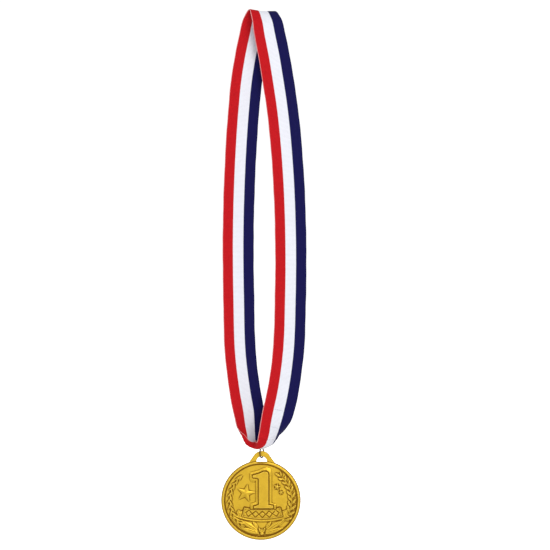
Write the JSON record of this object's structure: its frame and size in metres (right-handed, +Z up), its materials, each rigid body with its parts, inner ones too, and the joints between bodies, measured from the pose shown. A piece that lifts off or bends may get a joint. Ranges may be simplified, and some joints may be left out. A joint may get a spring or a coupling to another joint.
{
  "type": "award medal",
  "caption": "Round gilt first-place award medal with a laurel wreath relief, on a jump ring and an endless red, white and navy neck ribbon.",
  "frame": {"origin": "inside of the ribbon's top fold, where a peg, hook or neck carries the medal", "axes": "+Z up along the hanging ribbon, -Y the way the medal's face looks, +X to the right of the face as it is seen"},
  "size_m": [0.0545, 0.0206, 0.3385],
  "materials": {
    "gilt_metal": "satin",
    "ring_wire": "tarnished",
    "striped_ribbon": "woven, three stripes of red, white and navy",
    "thread": "twisted"
  },
  "bodies": {
    "ribbon": {"neck_ribbon": "striped_ribbon", "seam_stitches": "thread"},
    "ring": {"jump_ring": "ring_wire"},
    "medal": {"medal_body": "gilt_metal"}
  },
  "joints": [
    {"name": "ring_turn", "type": "hinge", "parent": "ribbon", "child": "ring", "pos_m": [0.0005, 0, -0.28193], "axis": [0.9397, -0.342, 0], "range_deg": [-50, 50]},
    {"name": "medal_swing", "type": "hinge", "parent": "ring", "child": "medal", "pos_m": [0.0005, 0, -0.28518], "axis": [0, 1, 0], "range_deg": [-40, 40]}
  ]
}
